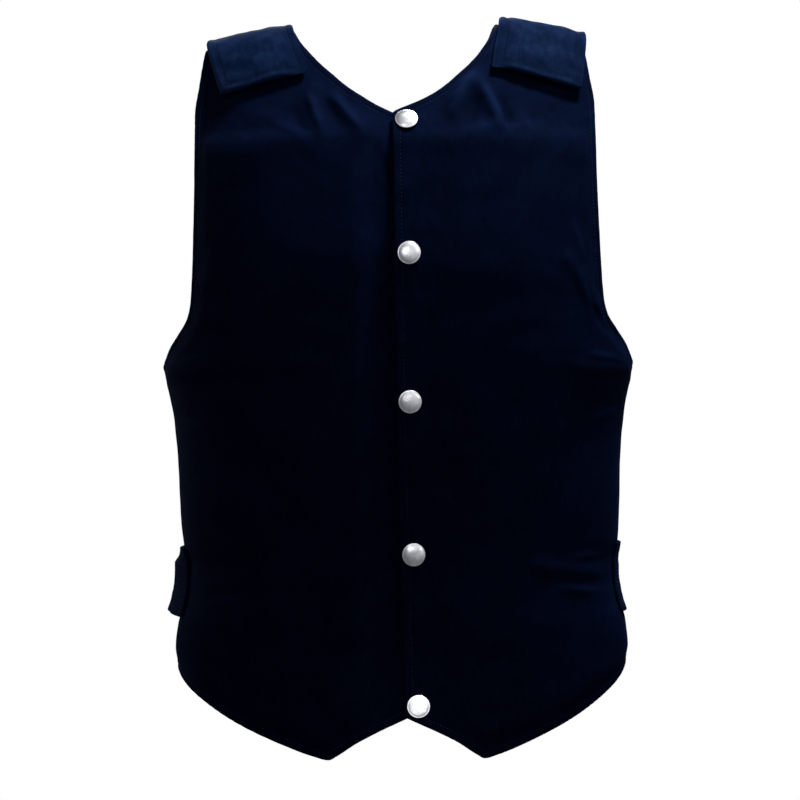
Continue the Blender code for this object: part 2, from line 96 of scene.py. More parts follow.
STRAP_SLANT = {(FRONT, LEFT): 0.13, (FRONT, RIGHT): 0.11, (BACK, LEFT): 0.0, (BACK, RIGHT): 0.0}
RIDGE_RISE, RIDGE_REACH = 1.6 * MM, 15 * MM
PATCH_THICKNESS = 1.6 * MM
SIDE_STRAP_TOP, SIDE_STRAP_BOTTOM = -429 * MM, -488 * MM
SIDE_STRAP_THICKNESS = 2.0 * MM
SIDE_STRAP_FRONT_Y, SIDE_STRAP_BACK_Y = -32 * MM, 69 * MM
SIDE_STRAP_SEAT, SLACK_ONSET = 0.8 * MM, 14 * MM
SEAM_DIP = 3 * MM
SLACK_END = 0.75
BACK_LEVELS_OFF = -160 * MM


class Table:
    """A short table in millimetres, read between its rows along a smooth curve that doesn't overshoot."""

    def __init__(self, columns, *rows):
        rows = np.array(sorted(rows), float) * MM
        self.keys = rows[:, 0]
        self.columns = {name: rows[:, i] for i, name in enumerate(columns.split())}

    def __call__(self, column, key):
        keys, values = self.keys, self.columns[column]
        key = np.clip(key, keys[0], keys[-1])
        i = np.clip(np.searchsorted(keys, key, side="right") - 1, 0, len(keys) - 2)
        steps = np.diff(values) / np.diff(keys)
        before, after = steps[:-1], steps[1:]
        total = np.where(before * after > 0, before + after, 1.0)
        inner = np.where(before * after > 0, 2 * before * after / total, 0.0)
        slopes = np.concatenate((steps[:1], inner, steps[-1:]))
        span = keys[i + 1] - keys[i]
        share = (key - keys[i]) / span
        rise = values[i + 1] - values[i]
        start, end = slopes[i] * span, slopes[i + 1] * span
        bend = (1 - share) * (start - rise) - share * (end - rise)
        return values[i] + share * rise + share * (1 - share) * bend


WIDTHS = Table(
    "height half_width",
    (-600, 186), (-531, 186.5), (-510, 186.4), (-494, 185), (-477, 180), (-460, 177), (-444, 176.5),
    (-427, 179.5), (-394, 182), (-360, 183.5), (-327, 186), (-310, 188.5), (-293, 192), (-280, 195.5),
    (-267, 194.5), (-254, 193), (-241, 191.5), (-220, 189.5), (-180, 187), (-120, 185.5), (0, 185),
)
DEPTHS = Table(
    "level front back",
    (-600, 94, 96), (-531, 96, 94), (-480, 99, 87), (-435, 101, 84), (-394, 104, 86), (-310, 109, 96),
    (-210, 111, 106), (-143, 103, 103), (-115, 98, 96), (-105, 96.5, 92), (-97, 94.5, 89), (-90, 91, 85),
    (-70, 77.5, 75), (-54, 67.5, 64), (-38, 56.5, 53), (-27, 48, 45), (-16, 37.5, 36), (-10, 30.5, 30),
    (-5, 22.5, 22.5), (-2, 14.5, 14.5), (-0.6, 8, 8), (0, 0, 0),
)
FRONT_ARMHOLE = Table(
    "height x",
    (-280, 195.5), (-277.5, 193.9), (-272, 191.2), (-266, 188.5), (-254, 180.2), (-241, 172), (-228, 169),
    (-188, 166.8), (-106, 165), (-72, 165), (-47, 161.5), (-14.6, 157),
)
BACK_ARMHOLE = Table(
    "height x",
    (-280, 195.5), (-277.5, 193.9), (-271, 190.5), (-260, 184.5), (-240, 170), (-205, 156), (-150, 150),
    (-90, 152), (-14.6, 157),
)
FRONT_NECK = Table(
    "height x",
    (-76, 0), (-65, 22.8), (-54.3, 39), (-43.6, 50.9), (-32.7, 62.3), (-21.9, 71.4), (-10.5, 79.2), (0, 84),
)
BACK_NECK = Table("x height", (0, -68), (20, -65), (40, -55), (60, -38), (75, -19), (84, 0))
FRONT_HEM = Table(
    "from_centre height",
    (-30, -553), (0, -567), (40, -586), (57, -597), (63, -600), (75, -597), (98, -588.5), (137, -570.5),
    (166, -552), (180, -540), (186.5, -530.6),
)
BACK_HEM = Table("x height", (0, -544), (150, -543), (178, -538), (186.5, -530.6))
CLOSING_EDGE = Table("height x", (-600, 3.2), (-567, 2.8), (-312, -0.9), (-76, -1.8))
ROW_STARTS = Table(
    "end start",
    (-530.6, -567), (-508, -532), (-470, -478), (-424, -424), (-120, -120), (-98, -90), (-85, -76),
    (-14.6, 0),
)


def fold_table(*rows):
    """Folds of the front panels, in millimetres. One with a rise below 0 is a valley."""
    columns = "hand x height to_x to_height half_width rise".split()
    return [dict(zip(columns, (hand, *(value * MM for value in sizes)))) for hand, *sizes in rows]


# The soft folds, and the finer creases beside them.
FOLDS = fold_table(
    (LEFT, 64, -48, 46, -78, 9, 2.4),
    (LEFT, 70, -54, 83, -86, 9, 2.4),
    (LEFT, 138, -198, 162, -234, 9, 1.8),
    (LEFT, 146, -286, 182, -288, 9, 1.4),
    (LEFT, 112, -446, 156, -453, 10, 1.6),
    (RIGHT, 48, -64, 26, -94, 9, 2.0),
    (RIGHT, 68, -56, 60, -92, 9, 1.8),
    (RIGHT, 146, -284, 184, -287, 9, 1.2),
    (RIGHT, 112, -456, 154, -459, 10, 1.4),
)
CREASES = fold_table(
    (LEFT, 70, -38, 42, -82, 7, 4.2),
    (LEFT, 68, -46, 88, -94, 6.5, 4.2),
    (LEFT, 67, -56, 60, -94, 7, -1.8),
    (LEFT, 84, -58, 96, -94, 6, -1.8),
    (LEFT, 50, -62, 34, -84, 5, -1.4),
    (LEFT, 40, -92, 132, -88, 6, 1.2),
    (LEFT, 100, -70, 112, -98, 6, 1.0),
    (LEFT, 140, -160, 152, -204, 5, 1.2),
    (LEFT, 144, -206, 160, -252, 4, 1.4),
    (LEFT, 150, -226, 172, -262, 5, -1.2),
    (LEFT, 146, -274, 186, -279, 4, 1.0),
    (LEFT, 118, -462, 168, -470, 5, 1.3),
    (LEFT, 130, -440, 170, -438, 5, 0.9),
    (LEFT, 150, -330, 182, -318, 5, 0.8),
    (RIGHT, 54, -58, 24, -96, 6, 2.2),
    (RIGHT, 62, -56, 40, -96, 6, -0.9),
    (RIGHT, 72, -54, 58, -96, 5, 2.2),
    (RIGHT, 84, -66, 72, -98, 6, -1.2),
    (RIGHT, 104, -80, 66, -98, 6, 1.2),
    (RIGHT, 146, -176, 156, -226, 5, 1.0),
    (RIGHT, 146, -272, 184, -278, 4, 0.9),
    (RIGHT, 120, -468, 164, -476, 5, 1.2),
    (RIGHT, 150, -334, 182, -322, 5, 0.8),
)

# Rows and columns of a panel: this far from its borders, in millimetres, and this many evenly between.
NEAR_EDGE = (0, 0.35, 0.9, 1.6, 2.5, 3.6, 4.7, 5.6, 6.4, 7.4, 8.6, 10)
FRONT_ROW_COUNT, FRONT_COLUMN_COUNT = 277, 129
BACK_ROW_COUNT, BACK_COLUMN_COUNT = 197, 229
ROW_STEPS = 61


def ease(share):
    share = np.clip(share, 0.0, 1.0)
    return share * share * (3 - 2 * share)


def bump(distance, width):
    """1 at no distance, falling smoothly to nothing over about twice the width."""
    return np.exp(-0.5 * (distance / width) ** 2)


def places(length, near, inner_count):
    """Distances from 0 to a length: close together near both ends, as listed, and evenly between them."""
    near = np.array(near) * MM
    near = near * min(1.0, 0.3 * length / near[-1])
    inner = np.linspace(near[-1], length - near[-1], inner_count)
    return np.concatenate((near[:-1], inner, length - near[-2::-1]))


# The surface of the body, as in the part's source.


def shoulder_drop(x):
    x = np.abs(x)
    bent = SHOULDER_SLOPE * np.clip(x - SLOPE_START, 0, SLOPE_FULL - SLOPE_START) ** 2
    bent = bent / (2 * (SLOPE_FULL - SLOPE_START))
    return bent + SHOULDER_SLOPE * np.clip(x - SLOPE_FULL, 0, None)


def shoulder_rise(x, height):
    """How much higher or lower one shoulder hangs than the drawn one."""
    across = ease((np.abs(x) - RISE_START) / (RISE_FULL - RISE_START))
    share = ease((height - RISE_GONE_BY) / (RISE_FADES_FROM - RISE_GONE_BY))
    return np.where(x > 0, SHOULDER_RISE[LEFT], SHOULDER_RISE[RIGHT]) * across * share


def body_points(x, height, side):
    """Points of the body's surface in front or behind at these places of the elevation."""
    x, height = np.broadcast_arrays(np.asarray(x, float), np.asarray(height, float))
    fade = ease((height - SLOPE_GONE_BY) / (SLOPE_FADES_FROM - SLOPE_GONE_BY))
    depth = DEPTHS("front" if side == FRONT else "back", height + shoulder_drop(x) * fade)
    across = np.minimum(np.abs(x) / WIDTHS("half_width", height), 1.0)
    reach = depth * (1 - across**SECTION_POWER) ** (1 / SECTION_POWER)
    return np.stack((x, side * np.maximum(reach, SEWN_HALF_GAP), height + shoulder_rise(x, height)), axis=-1)


def plan_angle(x, half_width):
    across = np.clip(x / half_width, -1.0, 1.0)
    return np.arcsin(np.copysign(np.abs(across) ** (SECTION_POWER / 2), across))


def plan_x(angle, half_width):
    across = np.sin(angle)
    return half_width * np.copysign(np.abs(across) ** (2 / SECTION_POWER), across)


def angle_at_depth(y, height):
    """The angle round the body, from the front over the wearer's left to the back, at this depth."""
    side = "front" if y < 0 else "back"
    across = (1 - (abs(y) / DEPTHS(side, height)) ** SECTION_POWER) ** (1 / SECTION_POWER)
    angle = float(plan_angle(across, 1.0))
    return angle if y < 0 else math.pi - angle


class Row:
    """A row of a panel, from start to end round the body, read at distances along it."""

    def __init__(self, start, end, side):
        angles = [plan_angle(x, WIDTHS("half_width", height)) for x, height in (start, end)]
        steps = np.linspace(0, 1, ROW_STEPS)
        self.heights = start[1] + (end[1] - start[1]) * steps
        self.xs = plan_x(np.interp(steps, (0, 1), angles), WIDTHS("half_width", self.heights))
        points = body_points(self.xs, self.heights, side)
        runs = np.linalg.norm(np.diff(points, axis=0), axis=1)
        self.lengths = np.concatenate(([0], np.cumsum(runs)))

    def shares(self, inner_count):
        length = self.lengths[-1]
        return places(length, NEAR_EDGE, inner_count) / length

    def at(self, shares):
        wanted = shares * self.lengths[-1]
        return np.interp(wanted, self.lengths, self.xs), np.interp(wanted, self.lengths, self.heights)


def row_heights(inner_count):
    """The heights at which a panel's rows meet its side."""
    return SIDE_HEM + places(SHOULDER_END - SIDE_HEM, NEAR_EDGE, inner_count)


def hem_height(x, hand):
    centre = HEM_CENTRE * (1 - np.minimum(np.abs(x) / WIDTHS("half_width", SIDE_HEM), 1))
    return FRONT_HEM("height", hand * (x - centre))


def closing_start(height, hand):
    """Where a front panel's row starts: its edge down the middle, and the neckline above."""
    if height > NECK_POINT:
        shift = NECK_SHIFT * ease((height - NECK_POINT) / (NECK_SHIFT_BY - NECK_POINT))
        return CLOSING_EDGE("x", NECK_POINT) + shift + hand * FRONT_NECK("x", height)
    edge = CLOSING_EDGE("x", height)
    if hand == LEFT:
        return edge
    covered = 1 - min(max((height - OVERLAP_TOP) / (NECK_POINT - OVERLAP_TOP), 0), 1)
    return edge + OVERLAP * covered


def front_grid(hand):
    """The surface of a front panel, from the hem up and from the closing edge to the side."""
    side_width = WIDTHS("half_width", SIDE_HEM)
    rows = []
    for end_height in row_heights(FRONT_ROW_COUNT):
        start_height = ROW_STARTS("start", end_height)
        armhole = end_height > UNDERARM
        edge = FRONT_ARMHOLE("x", end_height) if armhole else WIDTHS("half_width", end_height)
        start = (closing_start(start_height, hand), start_height)
        row = Row(start, (hand * edge, end_height), FRONT)
        shares = row.shares(FRONT_COLUMN_COUNT)
        xs, heights = row.at(shares)
        dip = max(0.0, (HEM_LEVELS_OFF - end_height) / (HEM_LEVELS_OFF - SIDE_HEM)) ** FRONT_DIP_POWER
        if dip > 0:
            low = Row((start[0], HEM_NOTCH), (hand * side_width, SIDE_HEM), FRONT).at(shares)[1]
            scale = side_width / WIDTHS("half_width", end_height)
            heights = heights + dip * (hem_height(xs * scale, hand) - low)
        rows.append(body_points(xs, heights, FRONT))
    return np.array(rows)


def back_grid():
    """The surface of the back panel, from the hem up and from the wearer's right to the left."""
    rows = []
    for height in row_heights(BACK_ROW_COUNT):
        edge = BACK_ARMHOLE("x", height) if height > UNDERARM else WIDTHS("half_width", height)
        row = Row((-edge, height), (edge, height), BACK)
        xs, levels = row.at(row.shares(BACK_COLUMN_COUNT))
        rise = max(0.0, (height - BACK_LEVELS_OFF) / (SHOULDER_END - BACK_LEVELS_OFF)) ** BACK_RISE_POWER
        dip = max(0.0, (HEM_LEVELS_OFF - height) / (HEM_LEVELS_OFF - SIDE_HEM))
        scale = WIDTHS("half_width", SIDE_HEM) / WIDTHS("half_width", height)
        shoulder = SHOULDER_END * (np.abs(xs) - NECK_HALF_WIDTH) / (SHOULDER_HALF_WIDTH - NECK_HALF_WIDTH)
        top = np.where(np.abs(xs) < NECK_HALF_WIDTH, BACK_NECK("height", np.abs(xs)), shoulder)
        hem = BACK_HEM("height", np.abs(xs) * scale)
        rows.append(body_points(xs, levels + rise * (top - SHOULDER_END) + dip * (hem - SIDE_HEM), BACK))
    return np.array(rows)


def tuck(x, hand):
    """How far the covered front panel steps back to lie under the other."""
    if hand == LEFT:
        return np.zeros_like(x)
    beyond = CLOSING_EDGE("x", NECK_POINT) - STEP_START - x
    return (CLOTH + OVERLAP_CLEARANCE) * ease(1 - beyond / STEP_LENGTH)


def strap_rows(hand, levels, side, across):
    """Rows of surface points under a shoulder strap, at these levels and places across it."""
    tilt = math.atan(SHOULDER_SLOPE)
    slant = 1 + STRAP_SLANT[side, hand] * (across / STRAP_WIDTH + 0.5)
    rows = []
    for level in levels:
        xs = STRAP_CENTRE[hand] + level * math.sin(tilt) * STRAP_LEAN[side, hand] + across * math.cos(tilt)
        rows.append(body_points(hand * xs, level * slant - shoulder_drop(xs), side))
    return np.array(rows)

# Grids and the meshes made of them.


def normals(grid, away_from):
    """Unit normals of a grid of points, turned away from a point inside the body."""
    normal = np.cross(np.gradient(grid, axis=0), np.gradient(grid, axis=1))
    normal /= np.maximum(np.linalg.norm(normal, axis=2, keepdims=True), 1e-12)
    facing = np.sum(normal * (grid - away_from), axis=2, keepdims=True)
    return normal * np.sign(facing.sum())


def running_lengths(line):
    """How far along a line of points each one lies."""
    runs = np.linalg.norm(np.diff(line, axis=0), axis=1)
    return np.concatenate(([0], np.cumsum(runs)))


def read_line(line, lengths, wanted):
    """Points of a line at the wanted distances along it."""
    return np.stack([np.interp(wanted, lengths, line[:, k]) for k in range(3)], axis=-1)


def refine(line, pitch=0.4 * MM):
    """A line of points with more points between them, at most this far apart."""
    lengths = running_lengths(line)
    return read_line(line, lengths, np.linspace(0, lengths[-1], max(2, int(lengths[-1] / pitch))))


def nearest(points, targets):
    """The distance from each point of a grid to the nearest of the targets."""
    tree = kdtree.KDTree(len(targets))
    for i, target in enumerate(targets):
        tree.insert(target, i)
    tree.balance()
    flat = points.reshape(-1, 3)
    return np.array([tree.find(point)[2] for point in flat]).reshape(points.shape[:2])


def border_distances(grid):
    """The distances from each point of a grid to its first and last column and to its first and last row."""
    borders = {"first": grid[:, 0], "last": grid[:, -1], "low": grid[0], "high": grid[-1]}
    return {side: nearest(grid, refine(line)) for side, line in borders.items()}


def ripple(grid, scale, height, stretch=(1, 1, 1), offset=0.0):
    """Smooth unevenness of a grid of points, from the size of its waves and their greatest height."""
    shift = Vector((SEED + offset, 2.7 * offset, -1.3 * offset))
    flat = grid.reshape(-1, 3) / (np.array(stretch) * scale)
    waves = np.array([noise.noise(Vector(point) + shift) for point in flat])
    return height * waves.reshape(grid.shape[:2])


def new_mesh(name, points, faces):
    mesh = bpy.data.meshes.new(name)
    mesh.from_pydata([tuple(point) for point in points], [], [tuple(int(i) for i in face) for face in faces])
    mesh.update()
    return mesh


def face_outward(mesh):
    body = bmesh.new()
    body.from_mesh(mesh)
    bmesh.ops.recalc_face_normals(body, faces=body.faces[:])
    body.to_mesh(mesh)
    body.free()


def new_object(name, mesh, material):
    for face in mesh.polygons:
        face.use_smooth = True
    mesh.materials.append(material)
    thing = bpy.data.objects.new(name, mesh)
    bpy.context.scene.collection.objects.link(thing)
    return thing


def finish_piece(piece, slot, *nodes):
    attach(piece, "root")
    if nodes:
        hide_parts(*nodes)


def lay_attributes(mesh, cloth, **values):
    """Stores each point's place on the flat cloth, its distance from a folded edge, and its painted fold
    light: above 0 a painted highlight, below 0 painted shade.
    """
    layer = mesh.attributes.new("cloth", "FLOAT_VECTOR", "POINT")
    layer.data.foreach_set("vector", np.ascontiguousarray(cloth, np.float32).ravel())
    for name, value in values.items():
        layer = mesh.attributes.new(name, "FLOAT", "POINT")
        layer.data.foreach_set("value", np.ascontiguousarray(value, np.float32).ravel())


def cloth_places(grid):
    """Where each point of a grid lies on the flat cloth: across along its row, and up along its column."""
    across = np.linalg.norm(np.diff(grid, axis=1), axis=2)
    across = np.concatenate((np.zeros((len(grid), 1)), np.cumsum(across, axis=1)), axis=1)
    up = np.linalg.norm(np.diff(grid, axis=0), axis=2)
    up = np.concatenate((np.zeros((1, grid.shape[1])), np.cumsum(up, axis=0)), axis=0)
    return np.stack((across, up, np.zeros_like(up)), axis=-1)


# An inner face takes the place of four outer ones. Against the border it also takes the points between.
INNER_POINTS = (slice(2, -2, 2), slice(2, -2, 2))
INNER_FACE = ((0, 0), (1, 0), (2, 0), (2, 1), (2, 2), (1, 2), (0, 2), (0, 1))


def shell(name, outer, inner, edge, crest, material):
    """A closed cloth body. The two grids meet along their borders, and the inner side has half the rows."""
    rows, columns = outer.shape[:2]
    index = np.arange(rows * columns).reshape(rows, columns)
    faces = [
        (index[i, j], index[i, j + 1], index[i + 1, j + 1], index[i + 1, j])
        for i in range(rows - 1)
        for j in range(columns - 1)
    ]
    within = np.full((rows, columns), -1)
    inner_shape = within[INNER_POINTS].shape
    inner_count = inner_shape[0] * inner_shape[1]
    within[INNER_POINTS] = rows * columns + np.arange(inner_count).reshape(inner_shape)
    within[0], within[-1], within[:, 0], within[:, -1] = index[0], index[-1], index[:, 0], index[:, -1]
    for i in range(0, rows - 1, 2):
        for j in range(0, columns - 1, 2):
            loop = (within[i + up, j + across] for up, across in INNER_FACE)
            faces.append(tuple(point for point in loop if point >= 0))

    def on_both(outside, inside):
        inside = inside[INNER_POINTS].reshape(inner_count, -1)
        return np.concatenate((outside.reshape(rows * columns, -1), inside))

    mesh = new_mesh(name, on_both(outer, inner), faces)
    flat = cloth_places(outer)
    lay_attributes(mesh, on_both(flat, flat), edge=on_both(edge, edge), crest=on_both(crest, crest))
    face_outward(mesh)
    return new_object(name, mesh, material)


def round_edge(edge, radius):
    """The share of the full thickness at this distance from a rounded edge."""
    near = 1 - np.clip(edge / radius, 0, 1)
    return np.sqrt(np.clip(1 - near * near, 0, 1))


STITCH_PITCH, STITCH_LENGTH, STITCH_RADIUS = 3.2 * MM, 2.3 * MM, 0.32 * MM
STITCH_SIDES = 6
STITCH_PROFILE = [(0.0, 0.0), (0.22, 0.8), (0.5, 1.0), (0.78, 0.8), (1.0, 0.0)]


def stitches(name, lines, material):
    """Rows of raised thread, one short rounded piece a stitch. A line is points with their normals."""
    points, faces = [], []
    for line, normal in lines:
        lengths = running_lengths(line)
        count = int(lengths[-1] / STITCH_PITCH)
        starts = np.arange(count) + 0.5 * (1 - STITCH_LENGTH / STITCH_PITCH)
        for start in starts * lengths[-1] / max(count, 1):
            first, last = read_line(line, lengths, np.array((start, start + STITCH_LENGTH)))
            up = read_line(normal, lengths, start)
            along = (last - first) / max(np.linalg.norm(last - first), 1e-9)
            up = up - along * (up @ along)
            up /= max(np.linalg.norm(up), 1e-9)
            side = np.cross(along, up)
            base = len(points)
            for share, width in STITCH_PROFILE:
                middle = first + (last - first) * share + up * STITCH_RADIUS * (0.9 * width - 0.35)
                if width == 0:
                    points.append(middle)
                    continue
                for k in range(STITCH_SIDES):
                    turn = 2 * math.pi * k / STITCH_SIDES
                    out = side * math.cos(turn) + up * math.sin(turn)
                    points.append(middle + out * STITCH_RADIUS * width)
            rings = [base + 1 + STITCH_SIDES * k for k in range(3)]
            tip = base + 1 + 3 * STITCH_SIDES
            for k in range(STITCH_SIDES):
                after = (k + 1) % STITCH_SIDES
                faces.append((base, rings[0] + after, rings[0] + k))
                for a, b in zip(rings, rings[1:]):
                    faces.append((a + k, a + after, b + after, b + k))
                faces.append((rings[2] + k, rings[2] + after, tip))
    return new_object(name, new_mesh(name, points, faces), material)


def seen_from(side, field):
    """A grid turned so that its rows run inward from one of its sides."""
    if side == "last":
        field = field[:, ::-1]
    elif side == "high":
        field = field[::-1]
    return field if side in ("first", "last") else field.swapaxes(0, 1)


def line_beside(side, points, normal, distance, level, keep):
    """The line of a grid at this distance from one of its sides."""
    points, normal, distance, keep = (seen_from(side, field) for field in (points, normal, distance, keep))
    line, up = [], []
    for i in range(len(points)):
        reached = np.nonzero((distance[i, 1:] >= level) & (distance[i, :-1] < level))[0]
        if len(reached) == 0:
            continue
        j = reached[0]
        if not keep[i, j]:
            continue
        share = (level - distance[i, j]) / (distance[i, j + 1] - distance[i, j])
        line.append(points[i, j] * (1 - share) + points[i, j + 1] * share)
        up.append(normal[i, j])
    return np.array(line), np.array(up)


def border_lines(points, normal, distances, level, sides):
    """Lines beside these sides of a grid. Each ends where it meets the sides next to its own."""
    lines = []
    for side in sides:
        ends = ("low", "high") if side in ("first", "last") else ("first", "last")
        keep = np.minimum(*(distances[end] for end in ends)) > 0.98 * level
        lines.append(line_beside(side, points, normal, distances[side], level, keep))
    return lines


# Materials.


class Nodes:
    """Adds linked shader nodes to a material or a world in one line each."""

    def __init__(self, owner):
        owner.use_nodes = True
        self.tree = owner.node_tree

    def add(self, kind, inputs=(), **settings):
        made = self.tree.nodes.new("ShaderNode" + kind)
        for key, value in settings.items():
            setattr(made, key, value)
        for key, value in dict(inputs).items():
            self.put(made.inputs[key], value)
        return made

    def put(self, socket, value):
        if isinstance(value, bpy.types.NodeSocket):
            self.tree.links.new(value, socket)
        else:
            socket.default_value = value

    def math(self, operation, *values, clamp=False):
        return self.add("Math", enumerate(values), operation=operation, use_clamp=clamp).outputs[0]

    def scaled(self, vector, factors):
        return self.add("VectorMath", {0: vector, 1: factors}, operation="MULTIPLY").outputs[0]

    def noise(self, vector, scale, detail=2.0, rough=0.5):
        inputs = {"Vector": vector, "Scale": scale, "Detail": detail, "Roughness": rough}
        return self.add("TexNoise", inputs).outputs["Fac"]

    def spread(self, value, low, high, to_low, to_high):
        """Carries the range from low to high over to the one from to_low to to_high."""
        inputs = {"Value": value, "From Min": low, "From Max": high, "To Min": to_low, "To Max": to_high}
        return self.add("MapRange", inputs).outputs["Result"]

    def mix(self, share, first, second):
        made = self.add("Mix", data_type="RGBA")
        for socket, value in ((0, share), (6, first), (7, second)):
            self.put(made.inputs[socket], value)
        return made.outputs[2]

    def bumps(self, height, distance, strength):
        return self.add("Bump", {"Height": height, "Distance": distance, "Strength": strength}).outputs[0]


class Surface(Nodes):
    """The nodes of a new material."""

    def __init__(self, name):
        self.material = bpy.data.materials.new(name)
        super().__init__(self.material)

    def shade(self, inputs):
        """Fills sockets of the material's own shader and returns the material."""
        shader = self.tree.nodes["Principled BSDF"]
        for key, value in inputs.items():
            self.put(shader.inputs[key], value)
        return self.material


def opaque(colour):
    return (*colour, 1.0)


def cloth_material(name, colour, worn_and_lit, pitch, depth, roughness, sheen, ribs=0.0, mottle=0.1, wear=0.35):
    """Woven cloth: the weave follows the flat cloth, its tone drifts a little, folded edges are paler with
    wear, and painted fold light makes fold crests paler and valleys darker.
    """
    n = Surface(name)
    flat = n.add("Attribute", attribute_name="cloth").outputs["Vector"]
    edge = n.add("Attribute", attribute_name="edge").outputs["Fac"]
    crest = n.add("Attribute", attribute_name="crest").outputs["Fac"]
    apart = n.add("SeparateXYZ", {0: n.scaled(flat, (math.tau / pitch, math.tau / pitch, 0.0))}).outputs
    weave = n.math("MULTIPLY", n.math("SINE", apart[0]), n.math("SINE", apart[1]))
    slub = n.noise(n.scaled(flat, (900.0, 70.0, 0.0)), scale=1.0)
    slub = n.math("ADD", slub, n.noise(n.scaled(flat, (60.0, 1100.0, 0.0)), scale=1.0))
    patches = n.noise(flat, scale=28.0, detail=4.0)
    mottled = n.noise(n.scaled(flat, (1.4, 0.8, 0.0)), scale=130.0, detail=3.0, rough=0.6)
    fold_wear = n.spread(edge, 0.0, 0.0022, 1.0, 0.0)
    speck = n.spread(n.noise(flat, 900.0, detail=1.0), 0.62, 0.78, 0.0, 1.0)
    tone = n.math("ADD", n.spread(patches, 0.3, 0.7, 0.02, 0.36), n.spread(slub, 0.7, 1.3, -0.12, 0.16))
    tone = n.math("ADD", tone, n.spread(mottled, 0.35, 0.65, -mottle, mottle))
    # Painted fold light: the stored fold height paints crests paler and valleys and grooves darker.
    tone = n.math("ADD", tone, n.math("MULTIPLY", crest, 0.75))
    tone = n.math("ADD", tone, n.math("MULTIPLY", fold_wear, wear))
    tone = n.math("ADD", tone, n.math("MULTIPLY", speck, 0.18), clamp=True)
    height = n.math("ADD", n.math("MULTIPLY", weave, 0.35), n.math("MULTIPLY", slub, 0.5))
    if ribs:
        rib = n.math("ABSOLUTE", n.math("SINE", n.math("MULTIPLY", apart[1], 0.5 * pitch / ribs)))
        height = n.math("ADD", height, rib)
    # The pale end of the mix is reached by wear, random tone and the painted highlights on fold crests.
    return n.shade({
        "Base Color": n.mix(tone, opaque(0.72 * part for part in colour), opaque(worn_and_lit)),
        "Roughness": n.spread(patches, 0.3, 0.7, roughness - 0.05, roughness + 0.05),
        "Sheen Weight": sheen,
        "Sheen Roughness": 0.45,
        "Sheen Tint": (0.08, 0.28, 1.0, 1.0),
        "Specular IOR Level": 0.02,
        "Specular Tint": (0.12, 0.35, 1.0, 1.0),
        "Normal": n.bumps(height, depth, 0.6),
    })


def thread_material(name, colour):
    n = Surface(name)
    place = n.add("TexCoord").outputs["Object"]
    return n.shade({
        "Base Color": n.mix(n.noise(place, 300.0), opaque(colour), opaque(2 * part for part in colour)),
        "Roughness": 0.6,
        "Specular IOR Level": 0.1,
    })


def nickel_material(name):
    """Press-stud plating, softly polished, with faint stains and handling marks."""
    n = Surface(name)
    place = n.add("TexCoord").outputs["Object"]
    stains = n.noise(place, 260.0, detail=3.0)
    marks = n.noise(place, 1400.0, detail=2.0)
    stained = n.spread(stains, 0.35, 0.7, 0.0, 1.0)
    return n.shade({
        "Base Color": n.mix(stained, opaque((0.73, 0.74, 0.77)), opaque((0.49, 0.50, 0.53))),
        "Metallic": 1.0,
        "Roughness": n.spread(stains, 0.3, 0.7, 0.22, 0.42),
        "Normal": n.bumps(n.math("ADD", stains, n.math("MULTIPLY", marks, 0.15)), 0.4 * MM, 0.35),
    })


def hook_material(name):
    """Hook tape: a dark bed set with short stiff hooks."""
    n = Surface(name)
    place = n.add("TexCoord").outputs["Object"]
    hooks = n.add("TexVoronoi", {"Vector": place, "Scale": 900.0}).outputs["Distance"]
    return n.shade({
        "Base Color": n.mix(hooks, opaque((0.016, 0.016, 0.02)), opaque((0.006, 0.006, 0.008))),
        "Roughness": 0.7,
        "Normal": n.bumps(hooks, 1 * MM, 0.8),
    })


RIB_PITCH = 2.4 * MM
SHELL_CLOTH = cloth_material(
    "navy_nylon", (0.0009, 0.0032, 0.0160), (0.0026, 0.0076, 0.032),
    pitch=0.9 * MM, depth=0.16 * MM, roughness=0.85, sheen=0.008,
)
STRAP_CLOTH = cloth_material(
    "navy_strap", (0.0020, 0.0078, 0.031), (0.0075, 0.019, 0.064),
    pitch=0.9 * MM, depth=0.18 * MM, roughness=0.8, sheen=0.025, mottle=0.17, wear=0.5,
)
ELASTIC = cloth_material(
    "navy_elastic", (0.0012, 0.0038, 0.018), (0.0034, 0.0092, 0.038),
    pitch=0.8 * MM, depth=0.3 * MM, roughness=0.85, sheen=0.012, ribs=RIB_PITCH,
)
THREAD = thread_material("navy_thread", (0.0014, 0.0045, 0.020))
NICKEL = nickel_material("nickel")
HOOKS = hook_material("hook_tape_black")

# The panels.

STITCH_LINE = 6 * MM
STITCH_PULL, STITCH_PULL_WIDTH, PUCKER_WIDTH = 0.55 * MM, 0.9 * MM, 4 * MM
HEM_RISE, HEM_PAST_STITCHES, HEM_RAMP = 0.35 * MM, 1.5 * MM, 1.2 * MM
CALM_BORDER = 9 * MM
CLOTH_EDGE_RADIUS = 1.5 * MM
CLOSING_RAMP_START, CLOSING_RAMP = 8 * MM, 32 * MM
SEAM_TURN = 2.5 * MM
CREASE_TAPER = 0.4
# The fold height that gives the full painted fold light.
CREST = 3 * MM


def fold_rise(points, hand, folds, taper=0.0):
    """How far folds lift a front panel. They die away over this share of their length at both ends."""
    place = np.stack((np.abs(points[..., 0]), points[..., 2]), axis=-1)
    rise = np.zeros(points.shape[:2])
    for fold in folds:
        if fold["hand"] != hand:
            continue
        start = np.array((fold["x"], fold["height"]))
        run = np.array((fold["to_x"], fold["to_height"])) - start
        offset = place - start
        share = np.clip(offset @ run / (run @ run), 0, 1)
        aside = np.linalg.norm(offset - share[..., None] * run, axis=-1)
        lift = fold["rise"] * np.exp(-2 * (aside / fold["half_width"]) ** 2)
        if taper:
            lift = lift * ease(share / taper) * ease((1 - share) / taper)
        rise += lift
    return rise


